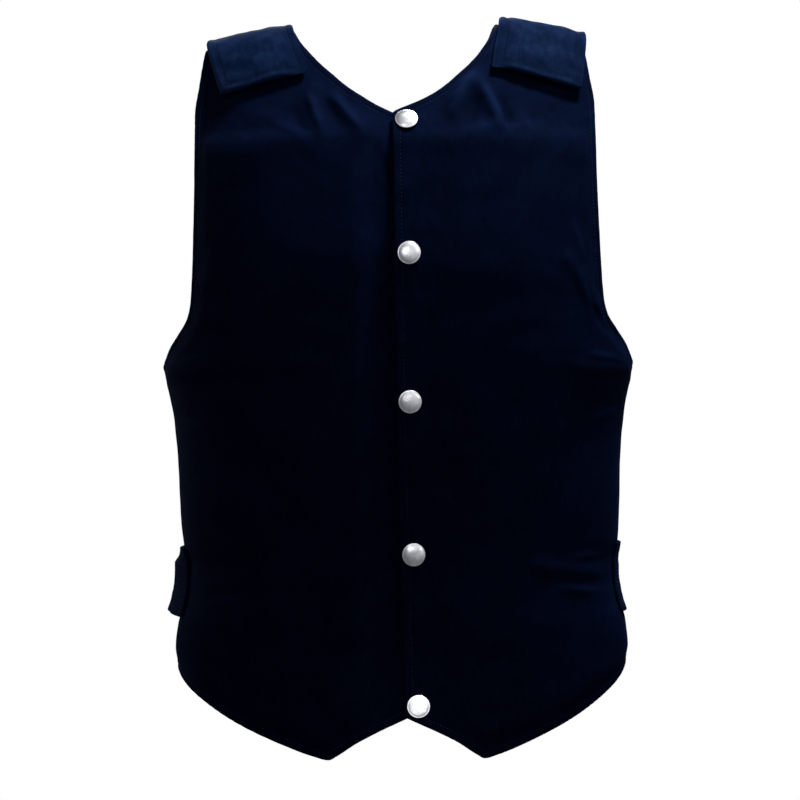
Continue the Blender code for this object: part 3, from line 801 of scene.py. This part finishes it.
def hem_rise(edge):
    """The turned edge: a doubled fold of cloth that the row of stitches pulls down."""
    past_stitches = edge - STITCH_LINE
    fold = HEM_RISE * (1 - ease((past_stitches - HEM_PAST_STITCHES) / HEM_RAMP))
    return fold - STITCH_PULL * bump(past_stitches, STITCH_PULL_WIDTH)


def panel_sides(grid, padded, drop, folds, edge):
    """A panel's two sides, from its padding of 0 to 1, its step back and how far folds lift it."""
    normal = normals(grid, BODY_MIDDLE)
    puckers = ripple(grid, 7 * MM, 0.35 * MM, offset=3) * bump(edge - STITCH_LINE, PUCKER_WIDTH)
    broad = ripple(grid, 75 * MM, 1.6 * MM, stretch=(1, 1, 1.4), offset=1)
    fine = ripple(grid, 22 * MM, 0.45 * MM, stretch=(1.5, 1, 0.8), offset=2)
    crinkles = ripple(grid, 10 * MM, 0.5 * MM, stretch=(0.8, 1, 1.5), offset=4) * (1 - padded)
    calm = ease(edge / CALM_BORDER)
    rise = PADDING_LIFT * padded + (folds + broad + fine + crinkles) * calm + hem_rise(edge) + puckers
    thickness = CLOTH + (PADDED - CLOTH) * padded
    full = round_edge(edge, CLOTH_EDGE_RADIUS)
    middle = rise - thickness / 2
    level = normal * (1, 1, 0)
    base = grid - level * (drop / np.sum(level * level, axis=2))[..., None]
    outer = base + normal * (middle + full * thickness / 2)[..., None]
    inner = base + normal * (middle - full * thickness / 2)[..., None]
    return outer, inner, normal, crinkles + fine


def padding(*borders):
    """From 0 in the cloth border to 1 over the padding, from the distance past each border and its ramp."""
    share = 1.0
    for distance, ramp in borders:
        share = share * ease(distance / ramp)
    return share


def close_seam(cloth, to_seam):
    """How far front or behind each point is, with the cloth brought to the side seam below the armhole."""
    drawn_in = 1 - ease((cloth[..., 2] - UNDERARM + SEAM_TURN) / SEAM_TURN)
    return cloth[..., 1] * (1 - drawn_in * (1 - ease(to_seam / SEAM_TURN)))


def dress_panel(
    name, node, side, grid, distances, to_seam, padded, stitched, drop=0.0, folds=0.0, creases=0.0,
):
    """Makes a panel in front or behind. Stitches run along the named sides of its grid."""
    edge = np.minimum.reduce(list(distances.values()))
    outer, inner, normal, crinkles = panel_sides(grid, padded, drop, folds + creases, edge)
    for cloth in (outer, inner):
        cloth[..., 1] = side * np.maximum(side * close_seam(cloth, to_seam), SEWN_HALF_GAP)
    # Painted fold light: the creases and crinkles paint the cloth paler on their crests and darker in their
    # valleys.
    piece = shell(name, outer, inner, edge, (creases + 0.6 * crinkles) / CREST, SHELL_CLOTH)
    lines = border_lines(outer, normal, distances, STITCH_LINE, stitched)
    thread = stitches(name + "_stitching", lines, THREAD)
    finish_piece(piece, "shell_cloth", node)
    finish_piece(thread, "shell_cloth")


def make_front(hand, name, node):
    grid = front_grid(hand)
    distances = border_distances(grid)
    padded = padding(
        (distances["first"] - CLOSING_BORDER[hand] + CLOSING_RAMP_START, CLOSING_RAMP),
        (distances["last"] - BORDER, PADDING_RAMP),
        (distances["low"] - BORDER, PADDING_RAMP),
        (INSERT_TOP - grid[..., 2], PADDING_RAMP),
    )
    dress_panel(
        name, node, FRONT, grid, distances, distances["last"], padded, ("first", "last", "low"),
        drop=tuck(grid[..., 0], hand),
        folds=fold_rise(grid, hand, FOLDS),
        creases=fold_rise(grid, hand, CREASES, CREASE_TAPER),
    )


def make_back(name, node):
    grid = back_grid()
    distances = border_distances(grid)
    to_seam = np.minimum(distances["first"], distances["last"])
    padded = padding(
        (to_seam - BORDER, PADDING_RAMP),
        (distances["low"] - BORDER, PADDING_RAMP),
        (INSERT_TOP - grid[..., 2], PADDING_RAMP),
    )
    dress_panel(name, node, BACK, grid, distances, to_seam, padded, ("first", "last", "low", "high"))


make_front(LEFT, "front_left_cloth", "front_panel_left")
make_front(RIGHT, "front_right_cloth", "front_panel_right")
make_back("back_cloth", "back_panel")

# The shoulder straps.

STRAP_NEAR_EDGE = (0, 0.3, 0.8, 1.5, 2.4, 3.4, 4.6, 5.6, 6.4, 7.2, 8.2, 9.6)
STRAP_COLUMN_COUNT, STRAP_ROW_COUNT = 45, 101
FLAP_NEAR_EDGE = (0, 0.008, 0.02, 0.04, 0.065, 0.09, 0.12, 0.15)
FLAP_ROW_COUNT, BEHIND_ROW_COUNT = 24, 60
SMOOTHING_PASSES = 3
STRAP_STITCH_LINE = 7 * MM
STRAP_EDGE_RADIUS = 2.2 * MM
STRAP_CALM_BORDER = 4 * MM
# The height that gives the full painted fold light on a shoulder strap.
STRAP_CREST = 2 * MM
FULLNESS, FULLNESS_RAMP = 0.8 * MM, 14 * MM
ROLL_LINE, ROLL_WIDTH, ROLL_RISE = 3.2 * MM, 1.8 * MM, 0.25 * MM
PATCH_SEAT = SEAT + PATCH_THICKNESS + SEAT
PATCH_TO_RIDGE, SEAT_STEP = 16 * MM, 12 * MM
GROOVE_WIDTH, GROOVE_DEPTH = 1.1 * MM, 0.4 * MM
NECK_GROOVE = {LEFT: 0.9 * MM, RIGHT: 0.1 * MM}
NECK_GROOVE_REACH = 12 * MM
NECK_SIDE_TURN, NECK_SIDE_DROP = 16 * MM, 3 * MM
NECK_DROP_END, NECK_DROP_RAMP = 8 * MM, 16 * MM
CORNER_RADII = {LEFT: (2.5 * MM, 2.5 * MM), RIGHT: (6 * MM, 2.5 * MM)}


def strap_grid(hand):
    """The surface under a shoulder strap, from front end to back end, and where along it the ridge lies."""
    across = places(STRAP_WIDTH, STRAP_NEAR_EDGE, STRAP_COLUMN_COUNT) - STRAP_WIDTH / 2
    front_shares = 1 - places(1.0, FLAP_NEAR_EDGE, FLAP_ROW_COUNT)[:-1]
    in_front = strap_rows(hand, STRAP_FRONT_END * front_shares, FRONT, across)
    behind = strap_rows(hand, STRAP_BACK_END * np.linspace(0.005, 1, BEHIND_ROW_COUNT), BACK, across)
    rough = np.concatenate((in_front, behind))
    rough[:, :, 2] += RIDGE_RISE * np.exp(-((rough[:, :, 1] / RIDGE_REACH) ** 2))
    lengths = running_lengths(rough[:, len(across) // 2])
    along = places(lengths[-1], STRAP_NEAR_EDGE, STRAP_ROW_COUNT)
    grid = np.stack([read_line(rough[:, j], lengths, along) for j in range(len(across))], axis=1)
    for _ in range(SMOOTHING_PASSES):
        grid[1:-1] = (grid[:-2] + 2 * grid[1:-1] + grid[2:]) / 4
    for i, distance in enumerate(along):
        inset = [r - math.sqrt(r * r - max(r - distance, 0) ** 2) for r in CORNER_RADII[hand]]
        low, high = inset[0] - STRAP_WIDTH / 2, STRAP_WIDTH / 2 - inset[1]
        narrowed = low + (across + STRAP_WIDTH / 2) / STRAP_WIDTH * (high - low)
        grid[i] = read_line(grid[i], across, narrowed)
    return grid, along, lengths[len(in_front)]


def make_shoulder_strap(hand, side_name):
    grid, along, ridge = strap_grid(hand)
    normal = normals(grid, np.array((hand * STRAP_CENTRE[hand], 0.0, -0.1)))
    distances = border_distances(grid)
    edge = np.minimum.reduce(list(distances.values()))
    to_neck = distances["first"]
    patch_end = ridge - PATCH_TO_RIDGE
    seat = STRAP_SEAT + (PATCH_SEAT - STRAP_SEAT) * ease((patch_end - along) / SEAT_STEP + 0.5)
    full = round_edge(edge, STRAP_EDGE_RADIUS)
    fullness = FULLNESS * ease((edge - STRAP_STITCH_LINE) / FULLNESS_RAMP)
    rolled = ROLL_RISE * bump(edge - ROLL_LINE, ROLL_WIDTH)
    waves = ripple(grid, 18 * MM, 1.1 * MM, offset=5 + hand)
    waves = waves + ripple(grid, 8 * MM, 0.35 * MM, offset=8 + hand)
    before_ridge = ease((patch_end - NECK_DROP_END - along) / NECK_DROP_RAMP)[:, None]
    turned_down = NECK_SIDE_DROP * ease(1 - to_neck / NECK_SIDE_TURN) * before_ridge
    groove = GROOVE_DEPTH + NECK_GROOVE[hand] * ease(1 - to_neck / NECK_GROOVE_REACH)
    groove = groove * bump(edge - STRAP_STITCH_LINE, GROOVE_WIDTH)
    rise = rolled + fullness - groove + waves * ease(edge / STRAP_CALM_BORDER) - turned_down
    middle = seat[:, None] + STRAP_THICKNESS / 2
    half = full * STRAP_THICKNESS / 2
    outer = grid + normal * (middle + half + rise * full)[..., None]
    inner = grid + normal * (middle - half)[..., None]
    # Painted fold light: paler on the wave crests, painted shade in the wave troughs, the stitched groove
    # and the turned-down neck side.
    crest = (waves - groove - 0.5 * turned_down) / STRAP_CREST
    piece = shell(f"shoulder_strap_{side_name}_cloth", outer, inner, edge, crest, STRAP_CLOTH)
    lines = border_lines(outer, normal, distances, STRAP_STITCH_LINE, ("first", "last", "low", "high"))
    thread = stitches(f"shoulder_strap_{side_name}_stitching", lines, THREAD)
    finish_piece(piece, "strap_cloth", f"shoulder_strap_{side_name}")
    finish_piece(thread, "strap_cloth")


make_shoulder_strap(LEFT, "left")
make_shoulder_strap(RIGHT, "right")

# The side straps.

SIDE_STRAP_NEAR_EDGE = (0, 0.3, 0.8, 1.5, 2.4, 3.6)
SIDE_STRAP_ROW_COUNT, SIDE_STRAP_COLUMN_COUNT = 61, 121
SIDE_STRAP_EDGE_RADIUS = 0.9 * MM
SIDE_STRAP_CALM_BORDER = 5 * MM
# The wave height that gives the full painted fold light on a side strap.
SIDE_STRAP_CREST = 1 * MM
SIDE_STRAP_STITCH_LINES, SIDE_STRAP_STITCH_INSET = (3 * MM, 7 * MM), 2 * MM
RIB_HEIGHT = 0.12 * MM
NORMAL_SMOOTHING_PASSES = 2


def side_strap_grid(hand, heights, shares):
    """The surface under a side strap, from its front end round the side to its back end."""
    rows = []
    for height in heights:
        first, last = (angle_at_depth(y, height) for y in (SIDE_STRAP_FRONT_Y, SIDE_STRAP_BACK_Y))
        turned = first + (last - first) * shares
        xs = hand * plan_x(np.minimum(turned, math.pi - turned), WIDTHS("half_width", height))
        front, back = body_points(xs, height, FRONT), body_points(xs, height, BACK)
        rows.append(np.where((turned < math.pi / 2)[:, None], front, back))
    return np.array(rows)


def make_side_strap(hand, side_name, bulge):
    strap_height = SIDE_STRAP_TOP - SIDE_STRAP_BOTTOM
    heights = SIDE_STRAP_BOTTOM + places(strap_height, SIDE_STRAP_NEAR_EDGE, SIDE_STRAP_ROW_COUNT)
    shares = np.linspace(0, 1, SIDE_STRAP_COLUMN_COUNT)
    grid = side_strap_grid(hand, heights, shares)
    normal = normals(grid, np.array((0.0, 0.0, grid[:, :, 2].mean())))
    for _ in range(NORMAL_SMOOTHING_PASSES):
        normal[:, 1:-1] = (normal[:, :-2] + normal[:, 1:-1] + normal[:, 2:]) / 3
    normal /= np.linalg.norm(normal, axis=2, keepdims=True)
    slack = np.sin(np.pi * np.clip(shares / SLACK_END, 0, 1)) ** 2
    loose = ease((SIDE_STRAP_TOP - heights) / SLACK_ONSET)[:, None]
    border = ease((np.abs(grid[0, :, 1]) + SEAM_DIP) / PADDING_RAMP)
    lift = SIDE_STRAP_SEAT + PADDING_LIFT * border[None, :] + bulge * slack[None, :] * loose
    waves = ripple(grid, 18 * MM, 0.5 * MM, stretch=(1, 1, 0.5), offset=11 + hand)
    distances = border_distances(grid)
    edge = np.minimum.reduce(list(distances.values()))
    full = round_edge(edge, SIDE_STRAP_EDGE_RADIUS)
    ribs = RIB_HEIGHT * np.abs(np.sin(np.pi * (grid[..., 2] - SIDE_STRAP_BOTTOM) / RIB_PITCH))
    middle = lift + SIDE_STRAP_THICKNESS / 2 + np.abs(waves) * ease(edge / SIDE_STRAP_CALM_BORDER)
    outer = grid + normal * (middle + full * (SIDE_STRAP_THICKNESS / 2 + ribs))[..., None]
    inner = grid + normal * (middle - full * SIDE_STRAP_THICKNESS / 2)[..., None]
    # Painted fold light from the signed waves: paler where they lie above 0, darker where below.
    crest = waves / SIDE_STRAP_CREST
    piece = shell(f"side_strap_{side_name}_webbing", outer, inner, edge, crest, ELASTIC)
    lines = [
        line_beside(side, outer, normal, distances[side], level, edge > SIDE_STRAP_STITCH_INSET)
        for side in ("first", "last")
        for level in SIDE_STRAP_STITCH_LINES
    ]
    finish_piece(stitches(f"side_strap_{side_name}_stitching", lines, THREAD), "side_strap_cloth")
    finish_piece(piece, "side_strap_cloth", f"side_strap_{side_name}")


make_side_strap(LEFT, "left", 0.5 * MM)
make_side_strap(RIGHT, "right", 10 * MM)

# The press studs. A cap's profile is in millimetres from its axis and above its foot.

CAP_PROFILE = [
    (8.2, 0.0), (8.9, 0.08), (9.3, 0.35), (9.4, 0.75), (9.32, 1.05), (9.1, 1.28), (8.8, 1.36),
    (8.5, 1.38), (8.2, 1.5), (7.7, 1.78), (7.0, 2.12), (6.1, 2.44), (5.0, 2.74), (3.8, 2.97),
    (2.5, 3.13), (1.2, 3.22), (0, 3.25),
]
CAP_SIDES, RIM_CHECKS = 48, 16
DENT_SIZE, DENT_DEPTH = 3.1, 0.06


def snap_seat(inset, height):
    """A press stud's place on the closing border, its outward direction and how far its seat is crowned."""
    x = CLOSING_EDGE("x", height) + inset
    reach = CAP_SEAT_REACH
    middle = body_points(x, height, FRONT)
    across = body_points(x + reach, height, FRONT) - body_points(x - reach, height, FRONT)
    up = body_points(x, height + reach, FRONT) - body_points(x, height - reach, FRONT)
    axis = np.cross(across, up)
    axis /= np.linalg.norm(axis)
    turns = np.linspace(0, 2 * math.pi, RIM_CHECKS, endpoint=False)
    rim = body_points(x + CAP_RADIUS * np.cos(turns), height + CAP_RADIUS * np.sin(turns), FRONT)
    proud = max(float(((rim - middle) @ axis).max()), 0.0)
    return middle, axis, proud


def make_cap(number, inset, height):
    name = f"snap_cap_{number}"
    middle, axis, proud = snap_seat(inset, height)
    foot = middle + axis * (proud + GAP)
    across = np.cross(axis, (0.0, 0.0, 1.0))
    across /= np.linalg.norm(across)
    up = np.cross(across, axis)
    shift = Vector((number * 5.0, 0, SEED))
    points, faces = [], []
    for radius, rise in CAP_PROFILE[:-1]:
        for k in range(CAP_SIDES):
            turn = 2 * math.pi * k / CAP_SIDES
            out = across * math.cos(turn) + up * math.sin(turn)
            dent = DENT_DEPTH * noise.noise(Vector(out * radius / DENT_SIZE) + shift)
            dent *= 1 - radius / (CAP_RADIUS / MM)
            points.append(foot + out * radius * MM + axis * (rise + dent) * MM)
    points.append(foot + axis * CAP_PROFILE[-1][1] * MM)
    after = [(k + 1) % CAP_SIDES for k in range(CAP_SIDES)]
    starts = [CAP_SIDES * r for r in range(len(CAP_PROFILE) - 1)]
    for low, high in zip(starts, starts[1:]):
        faces += [(low + k, low + after[k], high + after[k], high + k) for k in range(CAP_SIDES)]
    faces += [(starts[-1] + k, starts[-1] + after[k], len(points) - 1) for k in range(CAP_SIDES)]
    faces.append(tuple(range(CAP_SIDES))[::-1])
    mesh = new_mesh(f"{name}_dome", points, faces)
    face_outward(mesh)
    finish_piece(new_object(f"{name}_dome", mesh, NICKEL), "snap_metal", name)


for number, (inset, height) in enumerate(SNAP_PLACES, 1):
    make_cap(number, inset, height)

for node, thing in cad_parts.items():
    if node.startswith("snap_stud"):
        thing.material_slots[0].material = NICKEL
    elif node.startswith("hook_patch"):
        thing.material_slots[0].material = HOOKS

# Light, floor and camera.

scene = bpy.context.scene
scene.view_settings.view_transform = "Standard"

# The backdrop is white where it is seen, dim where it lights cloth, and graded where metal mirrors it.
AMBIENT = 0.03
BRIGHTEST = (0.5, -0.6, 0.62)
GRADES = ((0.36, 0.18), (0.53, 0.2), (0.66, 0.26), (0.8, 0.5), (0.9, 0.75))
world = bpy.data.worlds.new("studio")
scene.world = world
sky = Nodes(world)
ray = sky.add("LightPath").outputs
direction = sky.add("TexCoord").outputs["Generated"]
towards = sky.add("VectorMath", {0: direction, 1: BRIGHTEST}, operation="DOT_PRODUCT").outputs["Value"]
mirrored = sky.add("ValToRGB", {0: sky.add("MapRange", {"Value": towards, "From Min": -1.0}).outputs[0]})
ramp = mirrored.color_ramp
ramp.elements[0].position, ramp.elements[0].color = 0.0, (0.3, 0.3, 0.32, 1.0)
ramp.elements[1].position, ramp.elements[1].color = 1.0, (1.1, 1.1, 1.1, 1.0)
for position, level in GRADES:
    ramp.elements.new(position).color = (level, level, 1.04 * level, 1.0)
unseen = sky.mix(ray["Is Glossy Ray"], opaque((AMBIENT, AMBIENT, AMBIENT)), mirrored.outputs[0])
backdrop = sky.mix(ray["Is Camera Ray"], unseen, opaque((1.0, 1.0, 1.0)))
sky.put(sky.tree.nodes["Background"].inputs["Color"], backdrop)


def area_light(name, place, target, size, power):
    light = bpy.data.lights.new(name, "AREA")
    light.shape = "DISK"
    light.size = size
    light.energy = power
    thing = bpy.data.objects.new(name, light)
    turn = (Vector(target) - Vector(place)).to_track_quat("-Z", "Y").to_matrix().to_4x4()
    thing.matrix_world = Matrix.Translation(place) @ turn
    scene.collection.objects.link(thing)
    return thing


area_light("key", (0.5, -0.15, 1.35), (0.0, -0.06, -0.05), 0.3, 46)
area_light("side", (1.6, -1.2, 0.7), (0.0, 0.0, -0.3), 1.0, 4)
area_light("back", (-0.3, 1.7, 1.1), (0.0, 0.1, -0.3), 1.2, 26)
area_light("far_side", (-1.6, 0.9, 0.4), (0.0, 0.0, -0.3), 1.0, 8)
area_light("fill", (-0.5, -2.4, 0.6), (0.0, 0.0, -0.35), 1.4, 9)

# A small card that only the lowest press stud mirrors.
card = area_light("card", (0.013, -0.128, -0.559), (0.013, -0.095, -0.557), 0.1, 0.022)
card.data.spread = math.radians(140)
card.visible_camera = False
card.visible_diffuse = False

FLOOR_HEIGHT, FLOOR_RADIUS = -1.05, 2.4
disc = bmesh.new()
bmesh.ops.create_circle(disc, cap_ends=True, segments=96, radius=FLOOR_RADIUS)
floor_mesh = bpy.data.meshes.new("floor")
disc.to_mesh(floor_mesh)
disc.free()
pale = Surface("pale_floor").shade({
    "Base Color": (0.9, 0.9, 0.9, 1.0),
    "Roughness": 0.9,
    "Emission Color": (1.0, 1.0, 1.0, 1.0),
    "Emission Strength": 0.5,
})
ground = new_object("floor", floor_mesh, pale)
ground.location = (0, 0, FLOOR_HEIGHT)
ground.visible_diffuse = False
ground.visible_glossy = False

CAMERA_PLACE = (0.00125, -2.6, -0.310)
CAMERA_LEAN = -0.75
camera_data = bpy.data.cameras.new("camera")
camera_data.sensor_width = 36
camera_data.lens = 140
camera = bpy.data.objects.new("camera", camera_data)
level_view = Matrix.Translation(CAMERA_PLACE) @ Matrix.Rotation(math.radians(90), 4, "X")
camera.matrix_world = level_view @ Matrix.Rotation(math.radians(CAMERA_LEAN), 4, "Z")
scene.collection.objects.link(camera)
scene.camera = camera
